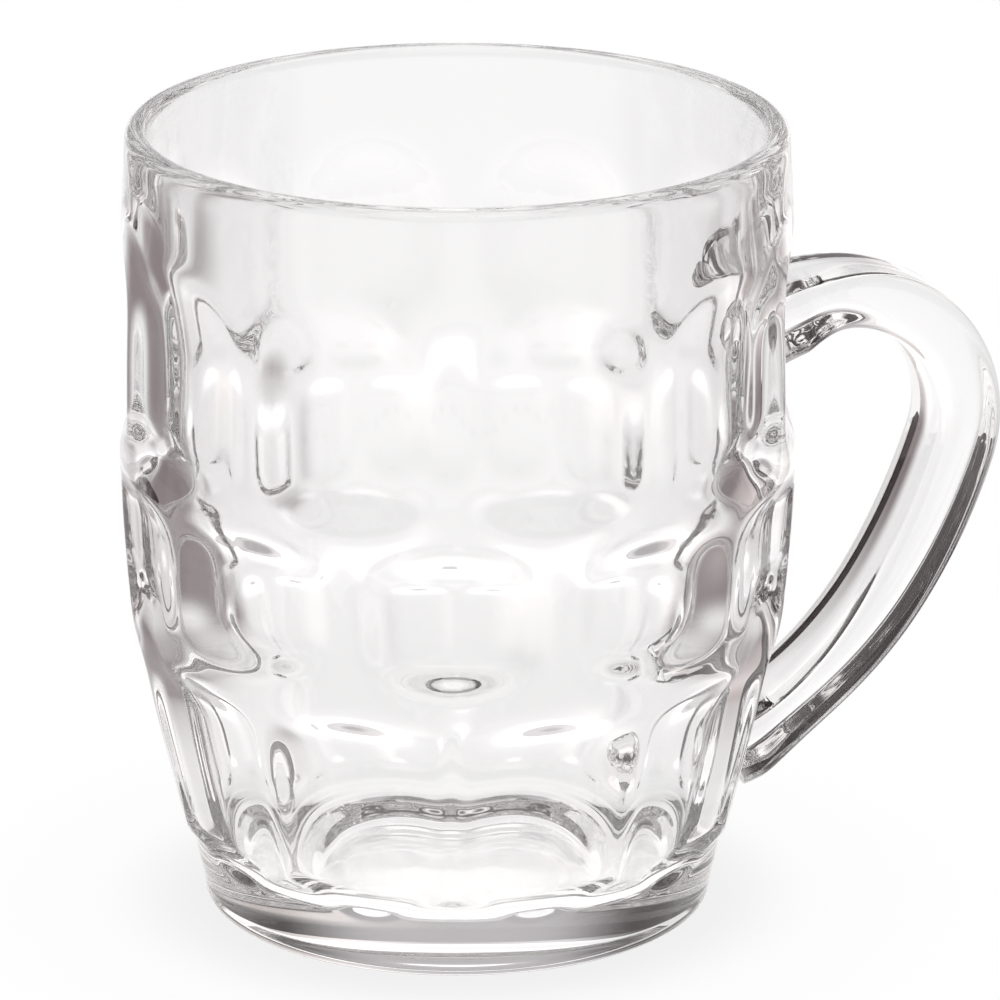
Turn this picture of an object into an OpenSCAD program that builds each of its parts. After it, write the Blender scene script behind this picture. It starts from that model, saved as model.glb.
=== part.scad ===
// Half-pint beer mug of pressed clear glass, with three rows of dimples and a strap handle.
// The bowl stands on the plane Z = 0 with its axis on Z, and the handle points along +X.

/* [Bowl] */
// Height of the mug, from the table to the top of the lip
mug_h = 100; // [98:0.5:103]
// Radius over the ribs where the bowl is widest
bulge_r = 41.9; // [41.5:0.1:42.5]
// Height of the widest place
bulge_z = 60; // [58:1:63]
// Radius of the long arc from the widest place up to the lip
upper_arc = 600; // [450:10:900]
// Radius of the long arc from the widest place down to the foot
lower_arc = 186; // [180:1:200]
// Thickness of the lip, which is fully rounded
lip_t = 3; // [2.8:0.1:3.2]

/* [Inside] */
// Radius of the mouth, inside the lip
mouth_r = 37.7; // [37.4:0.1:38]
// Radius inside where the inner wall stands upright
waist_r = 36.4; // [36:0.1:36.6]
// Height of that place
waist_z = 55; // [52:1:58]
// Radius of the long arc from there down to the floor
inner_arc = 170; // [165:1:176]
// Height of the flat disc in the middle of the floor above the table
floor_z = 6; // [5.5:0.1:7]
// Radius of that disc
disc_r = 17.6; // [17:0.1:18]
// Slope of the floor round the disc, in degrees
floor_slope = 6; // [5:1:8]
// Radius of the rounding between the inner wall and the floor
floor_round = 8; // [6:0.5:9]

/* [Foot] */
// Height of the plain band under the dimples
foot_h = 10.2; // [9.8:0.1:10.6]
// Radius of the band at its top
foot_r = 33.4; // [33:0.1:34]
// Radius of the band where its lower rounding starts
foot_low_r = 31.8; // [31.4:0.1:32.4]
// Rounding at the lower edge of the band
foot_round = 2; // [1.6:0.1:2.4]
// Height over which the ribs run out into the band
rib_end_h = 1.6; // [1.2:0.1:2]
// Inner radius of the flat ring that the mug stands on
ring_r = 23; // [20:0.5:25]
// Depth of the shallow hollow inside that ring
hollow_depth = 0.8; // [0.6:0.1:1.2]

/* [Dimples] */
// Dimples in each row
around = 10; // [10]
// Radius across a dimple, which is slightly hollow
hollow_arc = 120; // [100:5:160]
// Rounding at the upper and lower edges of a dimple
dimple_round = 5; // [4:0.5:6]
// Lower end of the dimples in the top row
top_low = 59.5; // [59:0.1:60.5]
// Upper end of the dimples in the top row
top_high = 87.5; // [85:0.5:88]
// Lower end of the dimples in the middle row
middle_low = 39; // [38.5:0.1:40]
// Upper end of the dimples in the middle row
middle_high = 58.5; // [57.5:0.1:58.5]
// Lower end of the dimples in the bottom row, which cut into the top of the foot
bottom_low = 6.7; // [6.2:0.1:7.2]
// Upper end of the dimples in the bottom row
bottom_high = 37; // [36.5:0.1:38]
// Depth of the dimples in the top row
top_depth = 2; // [1.6:0.1:2.2]
// Depth of the dimples in the middle row
middle_depth = 2; // [1.6:0.1:2.2]
// Depth of the dimples in the bottom row
bottom_depth = 2.5; // [2.2:0.1:2.7]
// How much more than the wall those dimples lean in towards the foot, in degrees
bottom_tilt = 1; // [0:0.5:2]

/* [Handle] */
// Thickness of the strap, measured in the plane of the handle
strap_t = 8.4; // [8:0.1:9]
// Width of the strap
strap_w = 12.6; // [12:0.1:13]
// Distance from the bowl's axis to the highest place of the strap's middle
strap_top_x = 49.8; // [49:0.2:51]
// Height of that place
strap_top_z = 74.4; // [73.5:0.1:75]
// Radius of the gentle rise from the bowl to the highest place
rise_r = 20; // [19:0.5:24]
// Radius of the bend from the highest place to the farthest one
bend_r = 16; // [15:0.1:17]
// Radius of the long curve from the farthest place back to the foot
sweep_r = 43.8; // [42:0.2:46]
// Angle of that curve, long enough to end inside the wall
sweep_angle = 71; // [70:1:73]

/* [Hidden] */
$fn = 180;
fine = 720;
lip_r = lip_t / 2;
lip_z = mug_h - lip_r;
lip_centre_r = mouth_r + lip_r;
flare = mouth_r - waist_r;
flare_arc = ((lip_z - waist_z) * (lip_z - waist_z) + flare * flare) / (2 * flare);
pitch = 360 / around;
half_pitch = pitch / 2;
tool_t = 12;
cutter_half_angle = asin((bulge_r * sin(half_pitch) - 0.3) / hollow_arc);
glass = [0.9, 0.94, 0.94, 0.45];
strap_in_x = 37.5;
rise_angle = asin((strap_top_x - strap_in_x) / rise_r);
hollow_sphere = (ring_r * ring_r + hollow_depth * hollow_depth) / (2 * hollow_depth);

// Radius over the ribs at a height between the foot and the lip
function rib_r(z) =
    let (arc = z > bulge_z ? upper_arc : lower_arc)
    bulge_r - arc + sqrt(arc * arc - (z - bulge_z) * (z - bulge_z));

// Lean of the wall from upright at a height, in degrees
function wall_lean(z) = asin((bulge_z - z) / (z > bulge_z ? upper_arc : lower_arc));

// Half section of the wall without its dimples
module wall_outline() {
    intersection() {
        translate([bulge_r - upper_arc, bulge_z]) circle(r = upper_arc, $fn = fine);
        translate([0, bulge_z]) square([bulge_r, lip_z - bulge_z]);
    }
    intersection() {
        translate([bulge_r - lower_arc, bulge_z]) circle(r = lower_arc, $fn = fine);
        translate([0, foot_h + rib_end_h]) square([bulge_r, bulge_z - foot_h - rib_end_h]);
    }
    polygon([
        [0, foot_h],
        [foot_r, foot_h],
        [rib_r(foot_h + rib_end_h), foot_h + rib_end_h],
        [0, foot_h + rib_end_h]
    ]);
}

// Half section of the foot band
module foot_outline() {
    edge_r = foot_low_r - foot_round;
    translate([edge_r, foot_round]) circle(r = foot_round);
    square([edge_r, foot_h]);
    polygon([[0, foot_round], [foot_low_r, foot_round], [foot_r, foot_h], [0, foot_h]]);
}

// Half section of the lip, from the top of the wall to the rounded edge
module lip_outline() {
    translate([lip_centre_r, lip_z]) circle(r = lip_r);
}

// Half section of the space inside the mug. The floor's rounding is a circle which touches the sloping
// floor and the wall's arc, so its centre solves a quadratic equation.
module inner_outline() {
    arc_x = waist_r - inner_arc;
    side = inner_arc - floor_round;
    rise = tan(floor_slope);
    raised = floor_z - disc_r * rise + floor_round / cos(floor_slope) - waist_z;
    half = rise * raised - arc_x;
    rest = arc_x * arc_x + raised * raised - side * side;
    corner_x = (sqrt(half * half - (1 + rise * rise) * rest) - half) / (1 + rise * rise);
    corner_z = waist_z + raised + rise * corner_x;
    slope_end_x = corner_x + floor_round * sin(floor_slope);
    slope_end_z = corner_z - floor_round * cos(floor_slope);
    difference() {
        translate([0, waist_z]) square([mouth_r, mug_h + 1 - waist_z]);
        translate([waist_r + flare_arc, waist_z]) circle(r = flare_arc, $fn = fine);
    }
    intersection() {
        translate([arc_x, waist_z]) circle(r = inner_arc, $fn = fine);
        translate([0, corner_z]) square([waist_r, waist_z - corner_z]);
    }
    translate([corner_x, corner_z]) circle(r = floor_round);
    polygon([
        [0, floor_z],
        [disc_r, floor_z],
        [slope_end_x, slope_end_z],
        [corner_x, corner_z],
        [0, corner_z]
    ]);
}

// One dimple's tool, whose outer face touches the plane X = 0 and bulges towards -X
module dimple_tool(height) {
    flat = height - 2 * dimple_round;
    back_r = hollow_arc - tool_t;
    translate([hollow_arc, 0, -height / 2])
        rotate_extrude(angle = 2 * cutter_half_angle, start = 180 - cutter_half_angle)
            union() {
                translate([back_r, 0]) square([tool_t - dimple_round, height]);
                translate([back_r, dimple_round]) square([tool_t, flat]);
                translate([hollow_arc - dimple_round, dimple_round]) circle(r = dimple_round);
                translate([hollow_arc - dimple_round, height - dimple_round])
                    circle(r = dimple_round);
            }
}

// A row of dimples between two heights, which turn moves round the bowl and tilt leans in at the foot
module dimple_row(low, high, depth, turn, tilt = 0) {
    middle = (low + high) / 2;
    for (i = [0 : around - 1])
        rotate([0, 0, turn + i * pitch])
            translate([rib_r(middle) - depth, 0, middle])
                rotate([0, wall_lean(middle) + tilt, 0])
                    dimple_tool((high - low) / cos(wall_lean(middle)));
}

// The outside of the bowl as one solid, with its foot and its dimples
module dimpled_solid() {
    difference() {
        rotate_extrude() {
            wall_outline();
            foot_outline();
            lip_outline();
        }
        dimple_row(top_low, top_high, top_depth, half_pitch);
        dimple_row(middle_low, middle_high, middle_depth, 0);
        dimple_row(bottom_low, bottom_high, bottom_depth, half_pitch, bottom_tilt);
    }
}

// The bowl, hollow inside and under its foot
module bowl() {
    color(glass)
        difference() {
            dimpled_solid();
            rotate_extrude() inner_outline();
            translate([0, 0, hollow_depth - hollow_sphere]) sphere(r = hollow_sphere, $fn = fine);
        }
}

// Cross section of the strap, with fully rounded sides
module strap_section() {
    side = (strap_w - strap_t) / 2;
    for (s = [-1, 1])
        translate([0, s * side]) circle(d = strap_t);
    square([strap_t, 2 * side], center = true);
}

// One bend of the strap in the XZ plane, swept round its centre
module strap_bend(centre, radius, from, sweep) {
    translate([centre[0], 0, centre[1]])
        rotate([90, 0, 0])
            rotate_extrude(angle = sweep, start = from)
                translate([radius, 0]) strap_section();
}

// The handle, cut to the bowl's side so that the two meet face to face
module handle() {
    farthest_x = strap_top_x + bend_r;
    farthest_z = strap_top_z - bend_r;
    color(glass)
        difference() {
            union() {
                strap_bend([strap_top_x, strap_top_z - rise_r], rise_r, 90, rise_angle);
                strap_bend([strap_top_x, farthest_z], bend_r, 0, 90);
                strap_bend([farthest_x - sweep_r, farthest_z], sweep_r, -sweep_angle, sweep_angle);
            }
            dimpled_solid();
        }
}

bowl();
handle();
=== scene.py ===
"""Looks of a half-pint mug of pressed clear glass, with dimples round its bowl and a strap handle.

The bowl and the handle are worked out as surfaces with numpy, in metres, in the frame of the solid
model: Z is the bowl's axis and the handle points along +X.
"""

import math

import bpy
import numpy as np
from bpy.props import FloatProperty, FloatVectorProperty, IntProperty, PointerProperty
from bpy.types import Operator, Panel, PropertyGroup
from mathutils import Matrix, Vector


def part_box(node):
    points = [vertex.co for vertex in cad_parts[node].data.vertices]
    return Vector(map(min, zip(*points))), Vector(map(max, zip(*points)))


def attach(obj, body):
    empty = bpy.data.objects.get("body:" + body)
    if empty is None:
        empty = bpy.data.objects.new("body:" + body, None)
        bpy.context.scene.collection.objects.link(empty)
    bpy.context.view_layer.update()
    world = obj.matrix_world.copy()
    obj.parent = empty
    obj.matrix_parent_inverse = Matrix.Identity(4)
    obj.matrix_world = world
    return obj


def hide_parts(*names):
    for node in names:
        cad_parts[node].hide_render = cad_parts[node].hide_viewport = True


bl_info = {
    "name": "Dimpled glass mug",
    "version": (1, 0, 0),
    "blender": (4, 5, 0),
    "location": "View3D > Sidebar > Glass Mug",
    "description": "Makes a dimpled half-pint glass mug with its handle, glass and a white stage",
    "category": "Add Mesh",
}

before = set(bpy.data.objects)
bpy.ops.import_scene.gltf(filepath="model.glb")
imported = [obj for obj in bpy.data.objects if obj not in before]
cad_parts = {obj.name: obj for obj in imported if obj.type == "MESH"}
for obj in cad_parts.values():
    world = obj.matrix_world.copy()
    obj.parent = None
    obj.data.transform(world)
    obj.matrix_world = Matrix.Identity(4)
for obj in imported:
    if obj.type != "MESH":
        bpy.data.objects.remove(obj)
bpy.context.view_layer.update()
bowl_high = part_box("bowl")[1]

TURN = 2 * math.pi
MILLIMETRES = 1000
# Attribute of each vertex: how far it lies outside the glass of the other piece, in millimetres
WELD = "weld"


def length(name, description, default):
    """A size in metres."""
    return FloatProperty(
        name=name, description=description, default=default, unit="LENGTH", precision=5)


def angle(name, description, degrees):
    """An angle, given here in degrees."""
    return FloatProperty(
        name=name, description=description, default=math.radians(degrees), unit="ROTATION")


def number(name, description, default, **limits):
    """A plain number."""
    return FloatProperty(name=name, description=description, default=default, **limits)


def colour(name, description, default):
    """A colour of light or glass."""
    return FloatVectorProperty(
        name=name, description=description, default=default, subtype="COLOR", size=3)


class MugBowlSizes(PropertyGroup):
    """Sizes of the bowl without its dimples."""

    height: length("Height", "From the table to the top of the lip", bowl_high[2])
    widest_radius: length("Widest radius", "Radius over the ribs at the widest place", bowl_high[1])
    widest_height: length("Widest height", "Height of the widest place", 0.060)
    upper_arc: length(
        "Upper arc", "Radius of the long arc from the widest place up to the lip", 0.600)
    lower_arc: length(
        "Lower arc", "Radius of the long arc from the widest place down to the foot", 0.186)
    lip: length("Lip", "Thickness of the rounded lip", 0.003)
    mouth_radius: length("Mouth radius", "Radius inside the lip", 0.0377)
    waist_radius: length(
        "Waist radius", "Radius inside where the inner wall stands upright", 0.0364)
    waist_height: length("Waist height", "Height of that place", 0.055)
    inner_lower_arc: length(
        "Inner lower arc", "Radius of the long arc from there down to the floor", 0.170)
    floor_height: length(
        "Inner floor", "Height of the flat disc in the middle of the floor over the table", 0.006)
    floor_radius: length("Floor disc", "Radius of that disc", 0.0176)
    floor_slope: angle("Floor slope", "Slope of the floor round the disc", 6)
    floor_rounding: length("Floor rounding", "Radius between the inner wall and the floor", 0.008)


class MugFootSizes(PropertyGroup):
    """Sizes of the plain foot."""

    height: length("Height", "Height of the plain band under the dimples", 0.0102)
    top_radius: length("Top radius", "Radius of the band at its top", 0.0334)
    low_radius: length("Low radius", "Radius of the band over its lower rounding", 0.0318)
    rounding: length("Rounding", "Rounding at the lower edge of the band", 0.002)
    run_out: length("Run-out", "Height over which the ribs run out into the band", 0.0016)
    ring_radius: length("Ring radius", "Inner radius of the ring that the mug stands on", 0.023)
    hollow: length("Hollow", "Depth of the hollow under the foot", 0.0008)
    step: length("Step", "Height of the step at the hollow's edge", 0.0001)
    step_run: length("Step run", "Width of that step", 0.0005)


class MugDimpleSizes(PropertyGroup):
    """Sizes of the dimples in their three rows."""

    around: IntProperty(
        name="Around", description="Dimples in each row", default=10, min=6, max=14)
    across: length("Across radius", "Radius of the shallow hollow across a dimple", 0.120)
    softness: length("Softness", "How far the fire has softened the edges of the ribs", 0.0013)
    waviness: length(
        "Waviness", "Height of the slow waves that pressing leaves in the wall", 0.00003)
    top_low: length("Top row, lower edge", "Height where they meet the rib under them", 0.0603)
    top_high: length("Top row, upper edge", "Height where they meet the plain band", 0.0878)
    top_depth: length("Top row, depth", "Depth under the ribs", 0.002)
    top_fade: length("Top row, upper fade", "Height over which the upper ends run out", 0.011)
    middle_low: length("Middle row, lower edge", "Height", 0.0398)
    middle_high: length("Middle row, upper edge", "Height", 0.0577)
    middle_depth: length("Middle row, depth", "Depth under the ribs", 0.002)
    bottom_low: length("Bottom row, lower edge", "Height", 0.0060)
    bottom_high: length("Bottom row, upper edge", "Height", 0.0365)
    bottom_depth: length("Bottom row, depth", "Depth under the ribs", 0.0025)
    bottom_tilt: angle(
        "Bottom row, tilt", "How much more than the wall the dimples lean in towards the foot", 1)
    fade: length("Fade", "Height over which the other ends run out", 0.0045)


class MugHandleSizes(PropertyGroup):
    """Sizes of the strap handle."""

    start_radius: length("Start radius", "Where the strap's middle starts, inside the wall", 0.0375)
    start_height: length("Start height", "Height of that place", 0.0703)
    rise: angle("Rise", "Angle at which the strap leaves the bowl", 34.0)
    bend_radii: FloatVectorProperty(
        name="Bend radii", description="Radius of each bend from the top", size=4,
        default=(0.0254, 0.0161, 0.0783, 0.0513), unit="LENGTH", precision=4)
    bend_angles: FloatVectorProperty(
        name="Bend angles", description="Angle of each bend from the top", size=4,
        default=tuple(math.radians(a) for a in (21.8, 120.0, 14.6, 33.5)), subtype="EULER")
    end_thickness: length("End thickness", "Thickness in the handle's plane at its ends", 0.0054)
    middle_thickness: length(
        "Middle thickness", "Thickness in the handle's plane at the middle", 0.0090)
    width: length("Width", "Width across the handle's plane", 0.0126)
    outer_squareness: number(
        "Outer squareness", "2 is round and more is a squarer outer side", 5.0, min=2, max=8)
    inner_squareness: number(
        "Inner squareness", "2 is round and more is a squarer inner side", 5.0, min=2, max=8)
    flare: length("Flare", "How far the strap spreads where it is fused to the bowl", 0.0016)
    flare_reach: length("Flare reach", "Distance from the bowl over which it spreads", 0.0045)


class MugGlassLook(PropertyGroup):
    """Colour and finish of the glass."""

    tint: colour(
        "Tint", "Colour that the glass gives to light that goes through a surface",
        (0.988, 0.987, 0.987))
    ior: number("Refractive index", "Of soda-lime glass", 1.52, min=1.4, max=1.7)
    roughness: number("Roughness", "Of clean glass", 0.0, min=0, max=0.2)
    ripple: length("Ripple", "Height of the faint unevenness of the pressed surface", 0.00001)


class MugStageLook(PropertyGroup):
    """Camera and light of the stage."""

    distance: length("Camera distance", "From the camera to the middle of the bowl", 0.9)
    azimuth: angle("Camera azimuth", "Turn of the camera round the mug, from looking along +Y", -17)
    elevation: angle("Camera elevation", "Height of the camera over the horizon", 17.9)
    scale: number("Scale", "Picture widths per metre at the mug", 8.05)
    aim_x: number("Aim across", "Where the bowl's middle lies across the picture", 0.4575)
    aim_y: number("Aim down", "Where the bowl's middle lies down the picture", 0.5115)
    backdrop: colour("Backdrop", "White that the camera sees behind the mug", (1.0, 1.0, 1.0))
    room: colour("Room", "Dim light of the room all round", (0.030, 0.020, 0.022))
    backlight: colour("Backlight", "Tall softbox beyond the mug", (0.46, 0.45, 0.455))
    low_backlight: colour(
        "Low backlight", "Extra light at the backlight's foot", (0.35, 0.34, 0.34))
    top_backlight: colour("Top backlight", "Extra light at the backlight's top", (0.30, 0.30, 0.29))
    right_light: colour("Right light", "Low light on the right, beyond the mug", (0.50, 0.46, 0.44))
    front_light: colour("Front light", "Softbox over the camera", (1.10, 1.07, 1.05))
    sheen: colour("Table's sheen", "How much the table mirrors the lights", (0.3, 0.3, 0.3))
    # The table's colours below are its painted glow, which the glass sees in place of light off a
    # table under the lamps
    table_back: colour("Table beyond", "Light off the table beyond the mug", (0.75, 0.75, 0.747))
    table_near: colour("Table near", "Light off the table close to the mug", (0.80, 0.79, 0.785))
    table_front: colour(
        "Table in front", "Light off the table on the camera's side", (1.0, 0.99, 0.98))
    table_side: colour("Table sides", "Light off the table at both sides", (0.25, 0.215, 0.22))


SIZE_GROUPS = {
    "mug_bowl": MugBowlSizes,
    "mug_foot": MugFootSizes,
    "mug_dimples": MugDimpleSizes,
    "mug_handle": MugHandleSizes,
    "mug_glass": MugGlassLook,
    "mug_stage": MugStageLook,
}


def rib_radius(z, bowl):
    """Radius over the ribs: two long arcs that meet upright at the widest place."""
    arc = np.where(z > bowl.widest_height, bowl.upper_arc, bowl.lower_arc)
    return bowl.widest_radius - arc + np.sqrt(arc**2 - (z - bowl.widest_height) ** 2)


def dimple_radius(turn, z, row, bowl, across):
    """Radius at which one row of dimples cuts the bowl.

    Each dimple is an arc of radius `across` seen from above, which leans like the wall and by the
    row's tilt, and rises to the ribs along a parabola at its upper and lower end. `turn` is the
    angle from the middle of the nearest dimple of the row.
    """
    low, high, depth, low_fade, high_fade, tilt = row
    middle = (low + high) / 2
    arc = bowl.upper_arc if middle > bowl.widest_height else bowl.lower_arc
    lean = (bowl.widest_height - middle) / arc + tilt
    into_low = np.clip(low + low_fade - z, 0, None) / low_fade
    into_high = np.clip(z - high + high_fade, 0, None) / high_fade
    rise = depth * (into_low**2 + into_high**2)
    deepest = rib_radius(np.array(middle), bowl) - depth
    centre = deepest + (z - middle) * lean + rise + across
    inside = across**2 - (centre * np.sin(turn)) ** 2
    return centre * np.cos(turn) - np.sqrt(np.clip(inside, 0, None))


def foot_radius(z, foot, bowl):
    """Radius of the foot: a leaning band, and a ramp from its top to where the ribs start."""
    up = (z - foot.rounding) / (foot.height - foot.rounding)
    band = foot.low_radius + (foot.top_radius - foot.low_radius) * up
    rib = rib_radius(np.array(foot.height + foot.run_out), bowl)
    ramp = foot.top_radius + (rib - foot.top_radius) * (z - foot.height) / foot.run_out
    return np.where(z < foot.height, band, ramp)


def smoothing(places, width, period=None):
    """Matrix that averages values at the places with a bell curve of each place's own width."""
    apart = places[None] - places[:, None]
    if period:
        apart = (apart + period / 2) % period - period / 2
    weight = np.exp(-0.5 * (apart / np.broadcast_to(width, places.shape)[:, None]) ** 2)
    return weight / weight.sum(axis=1, keepdims=True)


def waves(theta, z, seed, count=26, longest=0.045, shortest=0.012, mean_radius=0.04, swing=2):
    """Slow unevenness between about -1 and 1: a sum of waves of seeded directions and lengths."""
    rng = np.random.default_rng(seed)
    total = 0
    for _ in range(count):
        size = math.exp(rng.uniform(math.log(shortest), math.log(longest)))
        slant = rng.uniform(0, TURN)
        turns = round(TURN * mean_radius / size * math.cos(slant))
        start = rng.uniform(0, TURN)
        phase = turns * theta + TURN * math.sin(slant) * z / size + start
        total = total + (size / longest) * np.sin(phase)
    return total / math.sqrt(count) * swing


class OutsideGrid:
    """Radius of the bowl's outside on a fine grid of angles and heights, for smooth look-up.

    The wall, the foot and the dimples each give a radius, and the least one counts. The edges
    between them are then melted by averaging along both ways of the grid.
    """

    TURNS = 1080
    RINGS = 500
    FOOT_SOFTNESS = 0.35  # share of the ribs' softness that the foot's upper edge has
    FOOT_REACH = 0.005  # height over which it grows to the ribs' softness
    CALM_UNDER_LIP = 0.012  # height over which the waves die out
    CALM_OVER_FOOT = 0.006
    WAVE_SEED = 4

    def __init__(self, mug):
        bowl, foot, dimples = mug.mug_bowl, mug.mug_foot, mug.mug_dimples
        self.low, self.high = foot.rounding, bowl.height - bowl.lip / 2
        self.theta = np.arange(self.TURNS) * TURN / self.TURNS
        self.z = np.linspace(self.low, self.high, self.RINGS)
        theta, z = self.theta[None], self.z[:, None]
        radius = np.minimum(rib_radius(z, bowl), foot_radius(z, foot, bowl))
        pitch = TURN / dimples.around
        for shift, *row in self.rows(dimples):
            turn = (theta - shift * pitch + pitch / 2) % pitch - pitch / 2
            radius = np.minimum(radius, dimple_radius(turn, z, row, bowl, dimples.across))
        above = np.clip((self.z - foot.height) / self.FOOT_REACH, 0, 1)
        share = self.FOOT_SOFTNESS + (1 - self.FOOT_SOFTNESS) * above
        along_z = smoothing(self.z, dimples.softness * share)
        along_theta = smoothing(self.theta, dimples.softness / bowl.widest_radius, TURN)
        calm = (np.clip((self.high - z) / self.CALM_UNDER_LIP, 0, 1)
                * np.clip((z - foot.height) / self.CALM_OVER_FOOT, 0, 1))
        uneven = dimples.waviness * calm * waves(theta, z, self.WAVE_SEED)
        self.radius = along_z @ radius @ along_theta.T + uneven

    def rows(self, d):
        """Each row's shift in dimples, low and high edge, depth, low and high fade, and tilt."""
        return (
            (0.5, d.top_low, d.top_high, d.top_depth, d.fade, d.top_fade, 0),
            (0.0, d.middle_low, d.middle_high, d.middle_depth, d.fade, d.fade, 0),
            (0.5, d.bottom_low, d.bottom_high, d.bottom_depth, d.fade, d.fade, d.bottom_tilt),
        )

    def __call__(self, theta, z):
        """Radius at angles and heights, between the grid's nearest four values."""
        across = (theta % TURN) / TURN * self.TURNS
        up = np.clip((z - self.low) / (self.high - self.low), 0, 1) * (self.RINGS - 1)
        column = np.floor(across).astype(int)
        row = np.minimum(np.floor(up).astype(int), self.RINGS - 2)
        right, over = across - column, up - row
        column, after = column % self.TURNS, (column + 1) % self.TURNS
        below = self.radius[row, column] * (1 - right) + self.radius[row, after] * right
        above = self.radius[row + 1, column] * (1 - right) + self.radius[row + 1, after] * right
        return below * (1 - over) + above * over


def inner_profile(bowl, wall_rings=40, corner_rings=18, slope_rings=5, floor_rings=5):
    """Radius and height down the inside: two wall arcs, corner arc, sloping floor and flat disc.

    The corner is a circle that touches the lower wall's arc and the sloping floor, so its centre
    solves a quadratic equation.
    """
    lip_height = bowl.height - bowl.lip / 2
    waist, upright = bowl.waist_radius, bowl.waist_height
    arc, rounding = bowl.inner_lower_arc, bowl.floor_rounding
    flare = bowl.mouth_radius - waist
    upper_arc = ((lip_height - upright) ** 2 + flare**2) / (2 * flare)
    slope = math.tan(bowl.floor_slope)
    clearance = rounding / math.cos(bowl.floor_slope)
    raised = bowl.floor_height - bowl.floor_radius * slope + clearance - upright
    half = slope * raised - (waist - arc)
    rest = (waist - arc) ** 2 + raised**2 - (arc - rounding) ** 2
    corner_x = (math.sqrt(half**2 - (1 + slope**2) * rest) - half) / (1 + slope**2)
    corner_z = upright + raised + slope * corner_x
    join = math.atan2(corner_z - upright, corner_x - waist + arc)
    z = np.linspace(lip_height, upright + arc * math.sin(join), wall_rings)
    above = waist + upper_arc - np.sqrt(upper_arc**2 - np.clip(z - upright, 0, None) ** 2)
    below = np.sqrt(arc**2 - np.clip(upright - z, 0, None) ** 2) - arc
    wall = np.stack([above + below, z])
    turn = np.linspace(join, bowl.floor_slope - math.pi / 2, corner_rings)[1:]
    corner = np.stack([corner_x + rounding * np.cos(turn), corner_z + rounding * np.sin(turn)])
    across = np.linspace(corner[0, -1], bowl.floor_radius, slope_rings + 1)[1:]
    ring = np.stack([across, bowl.floor_height + (across - bowl.floor_radius) * slope])
    across = np.linspace(bowl.floor_radius, 0, floor_rings + 1)[1:-1]
    floor = np.stack([across, np.full(len(across), bowl.floor_height)])
    return np.concatenate([wall, corner, ring, floor], axis=1)


def under_profile(foot, hollow_rings=6, flat_rings=4, edge_rings=8):
    """Radius and height from the middle of the underside out: dome, flat ring, rounded edge."""
    reach, rise, rounding = foot.ring_radius - foot.step_run, foot.hollow - foot.step, foot.rounding
    dome = (reach**2 + rise**2) / (2 * rise)
    across = np.linspace(0, reach, hollow_rings + 1)[1:]
    hollow = np.stack([across, foot.hollow - dome + np.sqrt(dome**2 - across**2)])
    edge_x = foot.low_radius - rounding
    across = np.linspace(foot.ring_radius, edge_x, flat_rings + 1)[:-1]
    flat = np.stack([across, np.zeros(flat_rings)])
    turn = np.linspace(-math.pi / 2, 0, edge_rings + 1)[:-1]
    edge = np.stack([edge_x + rounding * np.cos(turn), rounding + rounding * np.sin(turn)])
    return np.concatenate([hollow, flat, edge], axis=1)


def lip_profile(bowl, rings=12):
    """Radius and height over the lip, from outside to inside: half a circle."""
    turn = np.linspace(0, math.pi, rings + 2)[1:-1]
    radius = bowl.lip / 2
    return np.stack([bowl.mouth_radius + radius * (1 + np.cos(turn)),
                     bowl.height - radius + radius * np.sin(turn)])


def crowded(low, high, count, places, reach, crowd, steps=4000):
    """Rising values from low to high, which are packed closer near the given places.

    Their density is 1, and rises by `crowd` along a bell curve of half width `reach` at each place.
    """
    fine = np.linspace(low, high, steps)
    near = np.exp(-(((fine[:, None] - np.asarray(places)[None]) / reach) ** 2)).sum(axis=1)
    weight = np.cumsum(1 + crowd * np.clip(near, 0, 1))
    weight = (weight - weight[0]) / (weight[-1] - weight[0])
    return np.interp(np.linspace(0, 1, count), weight, fine)


def new_piece(name, vertices, faces):
    """A smooth-shaded mesh object at the origin."""
    mesh = bpy.data.meshes.new(name)
    mesh.from_pydata(vertices, [], faces)
    mesh.update()
    mesh.shade_smooth()
    piece = bpy.data.objects.new(name, mesh)
    bpy.context.scene.collection.objects.link(piece)
    return piece


def closed_tube(name, rings, ends, swapped=False):
    """A mesh of closed rings joined one after the other, and by triangles to a point at both ends.

    rings holds places as rings x around x 3, and ends holds two places. The faces point outwards
    where the rings run anticlockwise as seen from the last one; swapped is for the other way.
    Returns the piece and all its vertices.
    """
    count, around = rings.shape[:2]
    ring, step = np.meshgrid(np.arange(count - 1) * around, np.arange(around), indexing="ij")
    after = (step + 1) % around
    corners = [ring + step, ring + after, ring + around + after, ring + around + step]
    quads = np.stack(corners, -1).reshape(-1, 4)
    first, last, pole = np.arange(around), (count - 1) * around, np.full(around, count * around)
    second = (first + 1) % around
    start = np.stack([pole, second, first], -1)
    end = np.stack([last + first, last + second, pole + 1], -1)
    if swapped:
        quads, start, end = quads[:, [0, 3, 2, 1]], start[:, [0, 2, 1]], end[:, [1, 0, 2]]
    vertices = np.concatenate([rings.reshape(-1, 3), ends])
    piece = new_piece(name, vertices, quads.tolist() + start.tolist() + end.tolist())
    return piece, vertices


def mark_weld(piece, distance):
    """Keeps at each vertex how far it lies outside the other piece's glass."""
    layer = piece.data.attributes.new(WELD, "FLOAT", "POINT")
    layer.data.foreach_set("value", (distance * MILLIMETRES).astype(np.float32))


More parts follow.
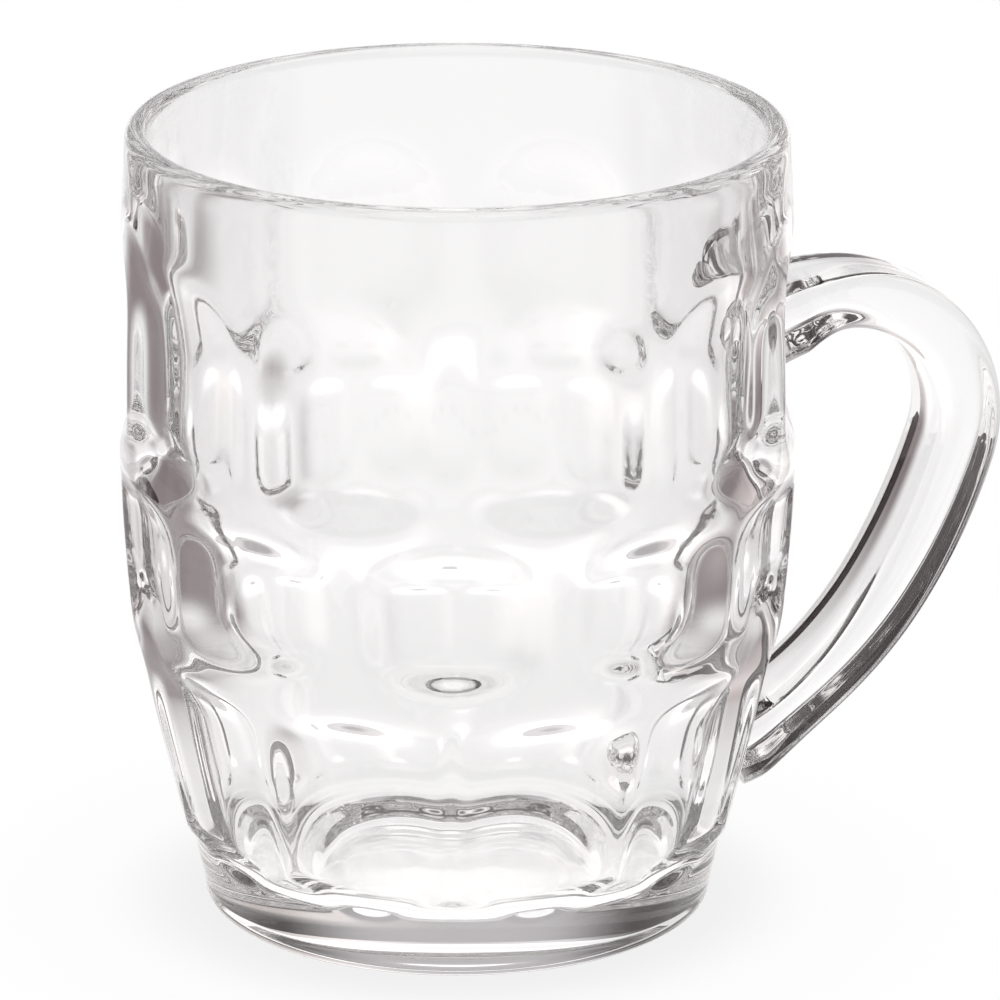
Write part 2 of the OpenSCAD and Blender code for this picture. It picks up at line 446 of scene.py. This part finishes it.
def strap_line(handle, rings=240, fewest=4):
    """Middle line of the strap in the XZ plane: bends that follow each other without a corner.

    Returns places, the direction away from the bend's centre, and the share of the way at each.
    """
    place = np.array([handle.start_radius, handle.start_height])
    heading = handle.rise
    lengths = [r * a for r, a in zip(handle.bend_radii, handle.bend_angles)]
    places, normals = [], []
    for radius, sweep, run in zip(handle.bend_radii, handle.bend_angles, lengths):
        count = max(fewest, round(rings * run / sum(lengths)))
        centre = place + radius * np.array([math.sin(heading), -math.cos(heading)])
        turns = heading - np.linspace(0, sweep, count, endpoint=False)
        outward = np.stack([-np.sin(turns), np.cos(turns)], -1)
        places.append(centre + radius * outward)
        normals.append(outward)
        heading -= sweep
        place = centre + radius * np.array([-math.sin(heading), math.cos(heading)])
    normals.append(np.array([[-math.sin(heading), math.cos(heading)]]))
    places.append(place[None])
    places, normals = np.concatenate(places), np.concatenate(normals)
    steps = np.linalg.norm(np.diff(places, axis=0), axis=1)
    share = np.concatenate([[0], np.cumsum(steps)])
    return places, normals, share / share[-1]


def strap_halves(places, share, mug, outside, fullness=0.7, flare_fall=1.5):
    """Half thickness and half width along the strap: full in the middle, and flared at the bowl.

    The thickness follows a sine raised to the power `fullness`, and the flare is a bell curve of
    power `flare_fall` over the distance from the bowl's side.
    """
    handle = mug.mug_handle
    full = np.sin(math.pi * share) ** fullness
    thick = handle.end_thickness + (handle.middle_thickness - handle.end_thickness) * full
    wall = outside(np.zeros(len(places)), places[:, 1])
    gap = np.clip(places[:, 0] - wall, 0, None)
    spread = handle.flare * np.exp(-((gap / handle.flare_reach) ** flare_fall))
    return thick / 2 + spread, handle.width / 2 + spread


def strap_section(handle, sides):
    """Points round a superellipse of half sizes 1, at equal steps of its parameter.

    It has one squareness on its outer side and one on its inner side.
    """
    t = np.arange(sides) * TURN / sides
    cosine, sine = np.cos(t), np.sin(t)
    power = 2 / np.where(cosine > 0, handle.outer_squareness, handle.inner_squareness)
    return np.sign(cosine) * np.abs(cosine) ** power, np.sign(sine) * np.abs(sine) ** power


def outside_strap(points, mug, outside, slack=0.002):
    """How far each point lies outside the strap, from the superellipse of the nearest section.

    A point that lies more than `slack` along the strap from that section is past the strap's end.
    """
    handle = mug.mug_handle
    places, normals, share = strap_line(handle)
    half_thick, half_wide = strap_halves(places, share, mug, outside)
    flat = points[:, [0, 2]]
    nearest = np.argmin(((flat[:, None] - places[None]) ** 2).sum(-1), axis=1)
    away, normal, thick = flat - places[nearest], normals[nearest], half_thick[nearest]
    off = (away * normal).sum(-1)
    along = (away * np.stack([normal[:, 1], -normal[:, 0]], -1)).sum(-1)
    power = np.where(off > 0, handle.outer_squareness, handle.inner_squareness)
    sides = np.abs(off / thick) ** power + np.abs(points[:, 1] / half_wide[nearest]) ** power
    return np.maximum((sides ** (1 / power) - 1) * thick, np.abs(along) - slack)


def feed(tree, socket, value):
    """Links a socket to another one, or sets it to a number, a vector or a colour."""
    if isinstance(value, bpy.types.NodeSocket):
        tree.links.new(value, socket)
    elif socket.type == "RGBA":
        socket.default_value = (*value, 1)
    else:
        socket.default_value = value


def math_node(tree, operation, *values):
    """A Math or Vector Math node with a number as its result."""
    vector = operation in {"LENGTH", "DOT_PRODUCT"}
    node = tree.nodes.new("ShaderNodeVectorMath" if vector else "ShaderNodeMath")
    node.operation = operation
    for socket, value in zip(node.inputs, values):
        feed(tree, socket, value)
    return node.outputs["Value"]


def fading(tree, value, start, end, at_start=1, at_end=0):
    """A number that eases from at_start to at_end as the socket's value goes from start to end."""
    node = tree.nodes.new("ShaderNodeMapRange")
    node.interpolation_type = "SMOOTHSTEP"
    sockets = ("Value", "From Min", "From Max", "To Min", "To Max")
    for name, given in zip(sockets, (value, start, end, at_start, at_end)):
        feed(tree, node.inputs[name], given)
    return node.outputs["Result"]


def mixed(tree, share, first, second, blend="MIX"):
    """The two colours mixed, or the second added to the first, by a share."""
    node = tree.nodes.new("ShaderNodeMix")
    node.data_type = "RGBA"
    node.blend_type = blend
    feed(tree, node.inputs["Factor"], share)
    colours = [socket for socket in node.inputs if socket.type == "RGBA"]
    for socket, value in zip(colours, (first, second)):
        feed(tree, socket, value)
    return next(socket for socket in node.outputs if socket.type == "RGBA")


def turn_from(tree, way, look, turn):
    """Angle, seen from above, between a direction and the one `turn` right of the line of view."""
    sine, cosine = math.sin(look.azimuth - turn), math.cos(look.azimuth - turn)
    along = math_node(tree, "DOT_PRODUCT", way, (-sine, cosine, 0))
    across = math_node(tree, "DOT_PRODUCT", way, (cosine, sine, 0))
    return math_node(tree, "ABSOLUTE", math_node(tree, "ARCTAN2", across, along))


def pressed_surface(patches=90):
    """Node group: faint unevenness of pressed and fire-polished glass, as a height in metres.

    It is slow noise with about the given number of patches in a metre, times the ripple's height.
    """
    name = "Pressed surface"
    if name in bpy.data.node_groups:
        return bpy.data.node_groups[name]
    group = bpy.data.node_groups.new(name, "ShaderNodeTree")
    group.interface.new_socket("Ripple", in_out="INPUT", socket_type="NodeSocketFloat")
    group.interface.new_socket("Height", in_out="OUTPUT", socket_type="NodeSocketFloat")
    inputs, outputs = group.nodes.new("NodeGroupInput"), group.nodes.new("NodeGroupOutput")
    place = group.nodes.new("ShaderNodeTexCoord")
    noise = group.nodes.new("ShaderNodeTexNoise")
    noise.inputs["Scale"].default_value = patches
    noise.inputs["Detail"].default_value = 1
    group.links.new(place.outputs["Object"], noise.inputs["Vector"])
    height = math_node(group, "MULTIPLY", noise.outputs["Fac"], inputs.outputs["Ripple"])
    group.links.new(height, outputs.inputs["Height"])
    return group


def new_shader(name):
    """A new material, its node tree and its Principled shader."""
    material = bpy.data.materials.new(name)
    material.use_nodes = True
    tree = material.node_tree
    return material, tree, tree.nodes["Principled BSDF"]


def clear_glass(name, look):
    """Clear glass that is open where the bowl and the handle are one body of glass."""
    material, tree, shader = new_shader(name)
    shader.inputs["Base Color"].default_value = (*look.tint, 1)
    shader.inputs["Metallic"].default_value = 0
    shader.inputs["Roughness"].default_value = look.roughness
    shader.inputs["IOR"].default_value = look.ior
    shader.inputs["Transmission Weight"].default_value = 1
    weld = tree.nodes.new("ShaderNodeAttribute")
    weld.attribute_name = WELD
    shown = math_node(tree, "GREATER_THAN", weld.outputs["Fac"], 0)
    tree.links.new(shown, shader.inputs["Alpha"])
    surface = tree.nodes.new("ShaderNodeGroup")
    surface.node_tree = pressed_surface()
    surface.inputs["Ripple"].default_value = look.ripple
    bump = tree.nodes.new("ShaderNodeBump")
    bump.inputs["Distance"].default_value = 1
    tree.links.new(surface.outputs["Height"], bump.inputs["Height"])
    tree.links.new(bump.outputs["Normal"], shader.inputs["Normal"])
    return material


class MUG_OT_bowl(Operator):
    """Make the bowl with its lip, dimples and foot"""

    bl_idname = "mug.bowl"
    bl_label = "Bowl"

    # Points round the bowl, and rings up its outer wall
    AROUND = 360
    UP = 180
    # Reach and extra density of the mesh at the upright ribs and at the dimples' ends
    RIB_CROWD = (math.radians(3.2), 1.6)
    END_CROWD = (0.003, 1.2)

    def execute(self, context):
        mug = context.scene
        bowl, foot, dimples = mug.mug_bowl, mug.mug_foot, mug.mug_dimples
        half_pitch = TURN / dimples.around / 2
        ribs = np.arange(2 * dimples.around + 1) * half_pitch
        theta = crowded(0, TURN, self.AROUND + 1, ribs, *self.RIB_CROWD)[:-1]
        ends = (foot.height, dimples.bottom_low, dimples.bottom_high, dimples.middle_low,
                dimples.middle_high, dimples.top_low, dimples.top_high)
        z = crowded(foot.rounding, bowl.height - bowl.lip / 2, self.UP, ends, *self.END_CROWD)
        outside = OutsideGrid(mug)
        wall = outside(theta[None], z[:, None])
        wall[-1] = bowl.mouth_radius + bowl.lip  # where the lip's half circle starts
        under, lip, inner = under_profile(foot), lip_profile(bowl), inner_profile(bowl)
        all_round = np.ones(len(theta))
        under_radius, lip_radius, inner_radius = (
            profile[0][:, None] * all_round for profile in (under, lip, inner))
        radius = np.concatenate([under_radius, wall, lip_radius, inner_radius])
        height = np.concatenate([under[1], z, lip[1], inner[1]])[:, None] * all_round
        rings = np.stack([radius * np.cos(theta), radius * np.sin(theta), height], -1)
        poles = [[0, 0, foot.hollow], [0, 0, bowl.floor_height]]
        piece, points = closed_tube("bowl_glass", rings, poles)
        mark_weld(piece, outside_strap(points, mug, outside))
        piece.data.materials.append(clear_glass("bowl_glass", mug.mug_glass))
        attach(piece, "root")
        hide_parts("bowl")
        return {"FINISHED"}


class MUG_OT_handle(Operator):
    """Make the strap handle, which is fused to the bowl"""

    bl_idname = "mug.handle"
    bl_label = "Handle"

    # Points round the strap
    SIDES = 72

    def execute(self, context):
        mug = context.scene
        outside = OutsideGrid(mug)
        places, normals, share = strap_line(mug.mug_handle)
        half_thick, half_wide = strap_halves(places, share, mug, outside)
        off, side = strap_section(mug.mug_handle, self.SIDES)
        x = places[:, :1] + normals[:, :1] * off * half_thick[:, None]
        y = side * half_wide[:, None]
        z = places[:, 1:] + normals[:, 1:] * off * half_thick[:, None]
        ends = [[places[k, 0], 0, places[k, 1]] for k in (0, -1)]
        piece, points = closed_tube("handle_glass", np.stack([x, y, z], -1), ends, swapped=True)
        radius = np.hypot(points[:, 0], points[:, 1])
        theta = np.arctan2(points[:, 1], points[:, 0])
        mark_weld(piece, radius - outside(theta, points[:, 2]))
        piece.data.materials.append(clear_glass("handle_glass", mug.mug_glass))
        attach(piece, "root")
        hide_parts("handle")
        return {"FINISHED"}


class MUG_OT_stage(Operator):
    """Set up the white table, the soft light and the camera"""

    bl_idname = "mug.stage"
    bl_label = "Stage"

    # Soft-edged panels of light round the mug, in degrees: the turn of the middle to the right of
    # the line of view, the distance from it at which the sides start and end to fade, and the same
    # three numbers for the height over the horizon
    PANELS = (
        ("backlight", 0, 12, 36, 24, 36, 50),
        ("low_backlight", 0, 12, 26, 0, 4, 10),
        ("top_backlight", 0, 12, 36, 54, 8, 16),
        ("right_light", 42, 16, 40, 6, 9, 15),
        ("front_light", 180, 20, 45, 52, 10, 16),
    )
    # Bright parts of the table's painted glow, which stands in for light off the table, each laid
    # over the ones before: the turn, and where the sides start and end to fade, in degrees, and
    # where the part does so away from the mug, in metres
    PAINTED_TABLE_GLOW = (
        ("table_near", 0, 150, 180, 0.065, 0.15),
        ("table_front", 180, 55, 95, 9, 10),
        ("table_back", 4, 24, 46, 9, 10),
    )
    # Half the table's width, and how far it lies under the foot, so that the two never touch
    TABLE_HALF = 6.0
    TABLE_GAP = 0.0001
    # Painted soft shadows under the foot, in the white that the camera sees: how bright the middle
    # is, and the radii where the brightness starts and ends to rise to full
    PAINTED_SHADOWS = ((0.9, 0.030, 0.046), (0.965, 0.030, 0.075))
    # How often light may bounce, which thick glass needs to look clear
    BOUNCES = 32
    # Width of the camera's sensor in millimetres, and how far the camera sees in metres
    SENSOR = 36.0
    FARTHEST = 100

    def execute(self, context):
        look = context.scene.mug_stage
        self.floor(look)
        self.light(context.scene, look)
        self.camera(context.scene, look)
        context.scene.view_settings.view_transform = "Standard"
        for kind in ("max_bounces", "transmission_bounces", "glossy_bounces"):
            setattr(context.scene.cycles, kind, self.BOUNCES)
        context.scene.cycles.denoising_input_passes = "RGB"
        return {"FINISHED"}

    def floor(self, look):
        """A wide white table just under the mug.

        The camera sees plain white with a painted soft shadow under the foot. The glass sees a
        painted glow that depends on the direction and the distance from the mug, and faint mirrored
        lights.
        """
        half = self.TABLE_HALF
        corners = [(x, y, -self.TABLE_GAP)
                   for x, y in ((-half, -half), (half, -half), (half, half), (-half, half))]
        floor = new_piece("stage_floor", corners, [(0, 1, 2, 3)])
        material, tree, shader = new_shader("stage_floor")
        shader.inputs["Roughness"].default_value = 0
        shader.inputs["Emission Strength"].default_value = 1
        shader.inputs["Metallic"].default_value = 1
        place = tree.nodes.new("ShaderNodeTexCoord").outputs["Object"]
        reach = math_node(tree, "LENGTH", place)
        # The table's glow is painted light in its emission: brighter or darker by direction and
        # distance from the mug, in place of light off a table under the lamps
        painted_glow = look.table_side
        for light, turn, full_side, end_side, full_reach, end_reach in self.PAINTED_TABLE_GLOW:
            off = turn_from(tree, place, look, math.radians(turn))
            sides = fading(tree, off, math.radians(full_side), math.radians(end_side))
            share = math_node(tree, "MULTIPLY", sides, fading(tree, reach, full_reach, end_reach))
            painted_glow = mixed(tree, share, painted_glow, getattr(look, light))
        # Painted shadow: the white that the camera sees is darkened by the distance from the mug,
        # not by light
        near, wide = (fading(tree, reach, start, end, middle, 1)
                      for middle, start, end in self.PAINTED_SHADOWS)
        shadow = math_node(tree, "MULTIPLY", near, wide)
        seen = tree.nodes.new("ShaderNodeLightPath").outputs["Is Camera Ray"]
        black = (0, 0, 0)
        for name, for_glass, for_camera in (
            ("Emission Color", painted_glow, mixed(tree, shadow, black, look.backdrop)),
            ("Base Color", look.sheen, black),
            ("Specular Tint", (1, 1, 1), black),
        ):
            feed(tree, shader.inputs[name], mixed(tree, seen, for_glass, for_camera))
        material.cycles.emission_sampling = "NONE"
        floor.data.materials.append(material)

    def light(self, scene, look):
        """A dim room with the soft panels of light in it; the camera sees it as plain white."""
        world = bpy.data.worlds.new("stage_light")
        scene.world = world
        world.use_nodes = True
        tree = world.node_tree
        way = tree.nodes.new("ShaderNodeTexCoord").outputs["Generated"]
        over = math_node(tree, "ARCSINE", math_node(tree, "DOT_PRODUCT", way, (0, 0, 1)))
        shine = look.room
        for light, *angles in self.PANELS:
            turn, full_side, end_side, height, full_level, end_level = map(math.radians, angles)
            off = turn_from(tree, way, look, turn)
            level = math_node(tree, "ABSOLUTE", math_node(tree, "SUBTRACT", over, height))
            share = math_node(tree, "MULTIPLY", fading(tree, off, full_side, end_side),
                              fading(tree, level, full_level, end_level))
            shine = mixed(tree, share, shine, getattr(look, light), "ADD")
        seen = tree.nodes.new("ShaderNodeLightPath").outputs["Is Camera Ray"]
        shine = mixed(tree, seen, shine, look.backdrop)
        tree.links.new(shine, tree.nodes["Background"].inputs["Color"])
        world.cycles.sampling_method = "NONE"

    def camera(self, scene, look):
        """A long lens at the photograph's angle."""
        target = Vector((0, 0, scene.mug_bowl.height / 2))
        back = Vector((
            math.sin(look.azimuth) * math.cos(look.elevation),
            -math.cos(look.azimuth) * math.cos(look.elevation),
            math.sin(look.elevation),
        ))
        camera = bpy.data.cameras.new("camera")
        view = bpy.data.objects.new("camera", camera)
        scene.collection.objects.link(view)
        view.location = target + back * look.distance
        view.rotation_mode = "QUATERNION"
        view.rotation_quaternion = (-back).to_track_quat("-Z", "Y")
        camera.sensor_width = self.SENSOR
        camera.lens = self.SENSOR * look.scale * look.distance
        camera.shift_x = 0.5 - look.aim_x
        camera.shift_y = look.aim_y - 0.5
        camera.clip_end = self.FARTHEST
        scene.camera = view


class MUG_PT_sizes(Panel):
    """Lists the mug's sizes and the buttons that make it"""

    bl_idname = "MUG_PT_sizes"
    bl_label = "Dimpled glass mug"
    bl_space_type = "VIEW_3D"
    bl_region_type = "UI"
    bl_category = "Glass Mug"

    def draw(self, context):
        for operator in OPERATORS:
            self.layout.operator(operator.bl_idname)
        for name, group in SIZE_GROUPS.items():
            box = self.layout.box()
            box.label(text=name.replace("mug_", "").capitalize())
            for size in group.__annotations__:
                box.prop(getattr(context.scene, name), size)


OPERATORS = (MUG_OT_stage, MUG_OT_bowl, MUG_OT_handle)
CLASSES = (*SIZE_GROUPS.values(), *OPERATORS, MUG_PT_sizes)


def register():
    """Makes the classes and the scene's size groups known to Blender."""
    for cls in CLASSES:
        bpy.utils.register_class(cls)
    for name, group in SIZE_GROUPS.items():
        setattr(bpy.types.Scene, name, PointerProperty(type=group))


def unregister():
    """Takes them away again."""
    for name in SIZE_GROUPS:
        delattr(bpy.types.Scene, name)
    for cls in reversed(CLASSES):
        bpy.utils.unregister_class(cls)


def main():
    """Makes the stage and the pieces."""
    register()
    bpy.ops.mug.stage()
    bpy.ops.mug.bowl()
    bpy.ops.mug.handle()


if __name__ == "__main__":
    main()
